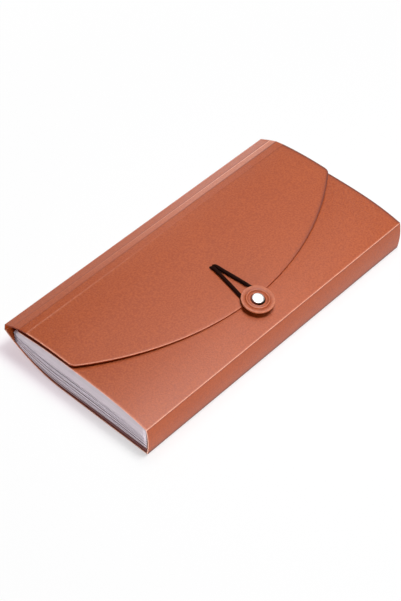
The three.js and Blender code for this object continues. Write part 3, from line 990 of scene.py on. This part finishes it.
def pleat_painted_shade(pleat, step, upper, y):
    """How much painted shade a point takes: most on the pressed pleats, then in every second groove."""
    deep = (pleat if upper else pleat - 1) % 2 == 1
    inwards = math.sin(math.radians(step[1])) ** GROOVE_POWER if step[0] == "nose" else 1.0
    groove = inwards * (DEEP_GROOVE if deep else SHALLOW_GROOVE)
    return max(PRESSED_SHADE * lowness(pleat, y), groove)


def gusset_leaf(pleat, end, side, half):
    """One leaf of a pleat, between the two sheets that the pleat joins."""
    upper = half == "upper"
    wall = pleat > DIVIDERS
    rows = gusset_rows if (side > 0) == upper else gusset_rows[::-1]
    steps = wall_steps if wall else leaf_steps
    place = wall_spot(side, upper) if wall else pleat_spot(pleat, side, upper)
    leaf_bm, spots = carried_grid(steps, rows, place)
    layer = leaf_bm.verts.layers.float.new("pleat_shade")
    for vert, (i, j) in zip(leaf_bm.verts, spots):
        vert[layer] = WALL_SHADE if wall else pleat_painted_shade(pleat, steps[i], upper, rows[j])
    leaf = add_piece(f"gusset_{end}_{half}_{pleat:02d}", leaf_bm, frost_finish)
    thicken(leaf, GUSSET_SHEET, 0)
    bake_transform(leaf)
    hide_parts(f"gusset_{end}_{pleat:02d}")


gusset_rows = spaced(30, GUSSET_START_Y, GUSSET_END_Y)
for pleat in range(1, DIVIDERS + 2):
    for end, side in (("left", -1), ("right", 1)):
        for half in ("lower", "upper"):
            gusset_leaf(pleat, end, side, half)
print("gusset pleats at each end:", DIVIDERS + 1)

# %% [markdown]
# ## Button
# The button is a flat disc on a short post, held by a rivet through the front panel. Round pieces are spun
# from half of their section. Their sharp edges are bevelled a little, because a moulded edge is never knife
# sharp and the small bevel is what catches the light. All of them are tilted with the front panel where
# they sit.

# %% Spinning round pieces
SPIN_STEPS = 64

button_slope = math.atan(front_top(BUTTON_Y + 0.5) - front_top(BUTTON_Y - 0.5))
button_seat = Vector((BUTTON_X, BUTTON_Y, front_top(BUTTON_Y))) * MM
button_place = Matrix.Translation(button_seat) @ Matrix.Rotation(button_slope, 4, "X")


def spun(name, profile, finish, round_edges, tone_at=None):
    """A round piece from its closed (radius, height) section, bevelled and set on the front panel.
    The tone is painted light and shade by radius, written to the crease attribute."""
    bm = bmesh.new()
    verts = [bm.verts.new((r * MM, 0, z * MM)) for r, z in profile]
    for first, second in zip(verts, verts[1:] + verts[:1]):
        if first.co.x > 0 or second.co.x > 0:
            bm.edges.new((first, second))
    bmesh.ops.spin(
        bm,
        geom=bm.verts[:] + bm.edges[:],
        cent=(0, 0, 0),
        axis=(0, 0, 1),
        angle=2 * math.pi,
        steps=SPIN_STEPS,
        use_merge=True,
    )
    bmesh.ops.remove_doubles(bm, verts=bm.verts, dist=FINE_DISTANCE)
    bmesh.ops.recalc_face_normals(bm, faces=bm.faces)
    if round_edges:
        inner = [e for e in bm.edges if len(e.link_faces) == 2]
        bmesh.ops.bevel(
            bm,
            geom=[e for e in inner if e.calc_face_angle() > BEVEL_ANGLE],
            offset=round_edges * MM,
            offset_type="OFFSET",
            segments=3,
            profile=0.5,
            affect="EDGES",
            material=-1,
        )
    if tone_at:
        paint_crease_and_light(bm, lambda p: tone_at(p.xy.length))
    bmesh.ops.transform(bm, matrix=button_place, verts=bm.verts)
    return add_piece(name, bm, finish)


print("button slope", round(math.degrees(button_slope), 2), "degrees")

# %% [markdown]
# ## Disc and post
# A raised bead runs round the disc, with a groove on either side, and the rivet sits in a seat. Painted
# shade darkens the grooves and the seat, and a painted highlight pales the bead and the rim. The tones use
# the same attribute as the cover's creases.

# %% Disc and post
BUTTON_DIAMETER, BUTTON_SHEET = 23.0, 1.2
RING_DIAMETER, RING_WIDTH, RING_HEIGHT, RING_SINK = 15.2, 1.6, 0.4, 0.3
SEAT_RADIUS, SEAT_DEPTH, SEAT_SLOPE = 4.9, 0.6, 0.3
INNER_STEP = 0.05  # the disc is a little lower inside the ring
SPACER_DIAMETER, SPACER_HEIGHT = 6.0, 3.8
SHANK_DIAMETER = 3.6
SEAT_GAP, BORE_GAP = 0.15, 0.2
DISC_BEVEL, SMALL_BEVEL = 0.22, 0.2
# painted shade in the seat and the grooves, painted highlight on the bead and the rim
SEAT_SHADE, SEAT_SHADE_MARGIN = -1.0, 0.1
BEAD_AND_RIM_HIGHLIGHT, HIGHLIT_RIM_WIDTH = 0.35, 0.4
GROOVE_SHADE, GROOVE_REACH = 0.6, 0.75

bore = SHANK_DIAMETER / 2 + BORE_GAP
disc_low = SPACER_HEIGHT + 2 * SEAT_GAP
disc_high = disc_low + BUTTON_SHEET
inner_high = disc_high - INNER_STEP
ring = RING_DIAMETER / 2
ring_bead = [
    (ring + RING_WIDTH / 2 * math.cos(a), disc_high - RING_SINK + (RING_HEIGHT + RING_SINK) * math.sin(a))
    for a in spaced(6, 0, math.pi)
]


def sleeve(radius, low, high):
    """Section of a round piece that the rivet's shank goes through."""
    return [(bore, low), (radius, low), (radius, high), (bore, high)]


def disc_light_and_shade(radius):
    """Painted shade in the seat and in the grooves beside the bead, painted highlight on the bead and the
    rim.
    """
    if radius < SEAT_RADIUS + SEAT_SHADE_MARGIN:
        return SEAT_SHADE
    if radius > BUTTON_DIAMETER / 2 - HIGHLIT_RIM_WIDTH:
        return BEAD_AND_RIM_HIGHLIGHT
    from_ring = abs(radius - ring)
    if from_ring < RING_WIDTH * GROOVE_REACH:
        return BEAD_AND_RIM_HIGHLIGHT - GROOVE_SHADE * min(1.0, from_ring / RING_WIDTH * 2)
    return 0.0


disc = spun(
    "button_top",
    [
        (bore, disc_low),
        (BUTTON_DIAMETER / 2, disc_low),
        (BUTTON_DIAMETER / 2, disc_high),
        (ring + RING_WIDTH, disc_high),
        *ring_bead,
        (ring - RING_WIDTH, inner_high),
        (SEAT_RADIUS + SEAT_SLOPE, inner_high),
        (SEAT_RADIUS, disc_high - SEAT_DEPTH),
        (bore, disc_high - SEAT_DEPTH),
    ],
    sheet_finish,
    DISC_BEVEL,
    disc_light_and_shade,
)
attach(disc, "button")
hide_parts("button_disc")

post_section = sleeve(SPACER_DIAMETER / 2, SEAT_GAP, SEAT_GAP + SPACER_HEIGHT)
# the post takes the darker copy of the sheet's colour, as painted shade under the disc
spacer = spun("button_post", post_section, shaded_finish, SMALL_BEVEL)
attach(spacer, "front")
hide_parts("button_spacer")
print("disc:", len(disc.data.polygons), "faces, post:", len(spacer.data.polygons))

# %% [markdown]
# ## Rivet
# The rivet's head is a low dome with a steep side, and its shank goes through the button to a washer behind
# the front panel. Powers of sine and cosine flatten a round dome into that shape.

# %% Rivet
CAP_DIAMETER, CAP_HEIGHT, CAP_RIM = 8.4, 1.2, 0.55
DOME_SIDE_POWER, DOME_TOP_POWER = 0.3, 0.8
BASE_DIAMETER, BASE_SHEET = 9.0, 0.8

base_high = -COVER_SHEET - SEAT_GAP
base_low = base_high - BASE_SHEET
cap_low = disc_high + SEAT_GAP
dome = []
for a in spaced(10, 0, math.pi / 2)[:-1]:
    rise = (CAP_HEIGHT - CAP_RIM) * math.sin(a) ** DOME_TOP_POWER
    dome.append((CAP_DIAMETER / 2 * math.cos(a) ** DOME_SIDE_POWER, cap_low + CAP_RIM + rise))
cap = spun(
    "rivet_head",
    [
        (0, base_low),
        (SHANK_DIAMETER / 2, base_low),
        (SHANK_DIAMETER / 2, cap_low),
        (CAP_DIAMETER / 2, cap_low),
        *dome,
        (0, cap_low + CAP_HEIGHT),
    ],
    nickel_finish,
    0,
)
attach(cap, "front")
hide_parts("rivet_cap")

washer_section = sleeve(BASE_DIAMETER / 2, base_low, base_high)
washer = spun("rivet_washer", washer_section, nickel_finish, SMALL_BEVEL)
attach(washer, "front")
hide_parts("rivet_base")
print("rivet head:", len(cap.data.polygons), "faces, washer:", len(washer.data.polygons))

# %% [markdown]
# ## Cord stop
# Under the flap a small metal plate holds both ends of the elastic. It is only seen when the flap is open,
# and the solid model's own shape is right, so it just gets the metal finish.

# %% Cord stop
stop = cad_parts["cord_stop"]
stop.data.materials.clear()
stop.data.materials.append(nickel_finish)
print("cord stop finished")

# %% [markdown]
# ## Table
# The photograph has a pure white background with a soft shadow. The table is a pale floor that adds a little
# light of its own, for the camera and for reflections only, so it reaches white and still keeps the shadow.
# It adds less close to the folder, and its white is slightly violet where the shadow falls at the left end.

# %% Table
WHITE = (1, 1, 1, 1)
FLOOR_COLOUR = (0.93, 0.93, 0.93, 1)
SHADE_COLOUR = (1.0, 0.89, 0.95, 1)  # of the white next to the left end
FLOOR_SIZE, FLOOR_DROP = 6, 0.0002
SHADOW_EDGE = (0.1275, 0.0665, 0.0)  # half of the folder's footprint
GLOW_NEAR, GLOW_MIDDLE, GLOW_FAR = 0.55, 0.9, 1.0  # share of plain white in the table, away from the folder
CONTACT_REACH, OPEN_START, OPEN_END = 0.012, 0.05, 0.4  # metres over which that share grows
SHADE_REACH, SHADE_START_Y, SHADE_END_Y = 0.016, -0.06, 0.03


def seen_directly(tree):
    """Two masks: 1 for what the camera sees, and 1 for what metal mirrors or clear plastic lets through."""
    path = node(tree, "LightPath")
    return path["Is Camera Ray"], path["Is Glossy Ray"].most(path["Is Transmission Ray"])


def faded(tree, value, start, end, low, high):
    """Goes smoothly from low to high as the value goes from start to end."""
    inputs = {"Value": value, 1: start, 2: end, 3: low, 4: high}
    return node(tree, "MapRange", inputs, interpolation_type="SMOOTHSTEP")["Result"]


def vector_maths(tree, operation, first, second=(0, 0, 0)):
    return node(tree, "VectorMath", {0: first, 1: second}, operation=operation)


floor_finish, floor_tree = new_finish("white_table")
by_camera, by_mirror = seen_directly(floor_tree)
floor_spot = object_place(floor_tree)
spread = vector_maths(floor_tree, "ABSOLUTE", floor_spot)["Vector"]
spread = vector_maths(floor_tree, "SUBTRACT", spread, SHADOW_EDGE)["Vector"]
spread = vector_maths(floor_tree, "MAXIMUM", spread)["Vector"]
far = vector_maths(floor_tree, "LENGTH", spread)["Value"]
near_glow = faded(floor_tree, far, 0.0, CONTACT_REACH, GLOW_NEAR, GLOW_MIDDLE)
open_glow = faded(floor_tree, far, OPEN_START, OPEN_END, 0.0, GLOW_FAR - GLOW_MIDDLE)
white_share = by_camera.most(by_mirror) * (near_glow + open_glow)
floor_axes = node(floor_tree, "SeparateXYZ", {0: floor_spot})
beside = faded(floor_tree, far, 0.0, SHADE_REACH, 1.0, 0.0)
in_shade = beside * faded(floor_tree, floor_axes["Y"], SHADE_START_Y, SHADE_END_Y, 0.0, 1.0)
glow_colour = blended(floor_tree, in_shade, WHITE, SHADE_COLOUR)
paint = node(floor_tree, "BsdfDiffuse", {"Color": FLOOR_COLOUR})["BSDF"]
glow = node(floor_tree, "Emission", {"Color": glow_colour, "Strength": 1.0})["Emission"]
mixed = node(floor_tree, "MixShader", {0: white_share, 1: paint, 2: glow})["Shader"]
node(floor_tree, "OutputMaterial", {"Surface": mixed})

floor_bm = bmesh.new()
bmesh.ops.create_grid(floor_bm, x_segments=1, y_segments=1, size=FLOOR_SIZE)
bmesh.ops.translate(floor_bm, vec=(0, 0, -FLOOR_DROP), verts=floor_bm.verts)
floor = add_piece("table", floor_bm, floor_finish)
print("table ready")

# %% [markdown]
# ## World and softboxes
# The world fills in from everywhere, and reflections see a dark studio with a white backdrop and ceiling
# instead. Six softboxes shape the light: one overhead, one at the back, two low ones at the front and the
# rear that are kept out of reflections, and two small ones that put a sheen on the flap and on the fold.

# %% World
WORLD_COLOUR = (0.104, 0.098, 0.116, 1)
DARK_STUDIO = (0.12, 0.12, 0.12, 1)
BACKDROP_LOW, BACKDROP_HIGH = 0.12, 0.5  # heights between which the white backdrop ends, as a sine
CEILING_LOW, CEILING_HIGH = 0.70, 0.86

world = bpy.data.worlds.new("studio")
bpy.context.scene.world = world
world.use_nodes = True
sky = world.node_tree
sky.nodes.clear()
by_camera, by_mirror = seen_directly(sky)
direction = node(sky, "SeparateXYZ", {0: node(sky, "TexCoord")["Generated"]})
backdrop = faded(sky, direction["Z"], BACKDROP_LOW, BACKDROP_HIGH, 1.0, 0.0)
ceiling = faded(sky, direction["Z"], CEILING_LOW, CEILING_HIGH, 0.0, 1.0)
around_stage = blended(sky, by_mirror, WORLD_COLOUR, DARK_STUDIO)
sky_colour = blended(sky, by_camera.most(by_mirror * backdrop.most(ceiling)), around_stage, WHITE)
sky_light = node(sky, "Background", {"Color": sky_colour, "Strength": 1.0})["Background"]
node(sky, "OutputWorld", {"Surface": sky_light})
print("world ready")

# %% Softboxes
def softbox(name, place, size, power, glossy=True):
    """A square area lamp, in metres and watts, that is turned to the folder."""
    lamp = bpy.data.objects.new(name, bpy.data.lights.new(name, "AREA"))
    lamp.data.shape = "SQUARE"
    lamp.data.size = size
    lamp.data.energy = power
    lamp.location = place
    lamp.rotation_mode = "QUATERNION"
    lamp.rotation_quaternion = (-Vector(place)).to_track_quat("-Z", "Y")
    lamp.visible_glossy = glossy
    bpy.context.scene.collection.objects.link(lamp)


softbox("overhead_softbox", (0.06, -0.15, 0.68), size=0.2, power=4.1)
softbox("back_softbox", (0.42, 0.22, 1.08), size=0.4, power=2.3)
softbox("sheen_softbox", (0.75, 0.52, 0.76), size=0.15, power=0.4)
softbox("low_softbox", (-0.75, -1.10, 0.07), size=0.12, power=10.6, glossy=False)
softbox("fold_softbox", (0.37, 0.48, 0.115), size=0.12, power=0.36)
softbox("rear_softbox", (0.20, 1.20, 0.10), size=0.12, power=4.0, glossy=False)
bpy.context.scene.view_settings.view_transform = "Standard"
print("lamps:", len(bpy.data.lights))
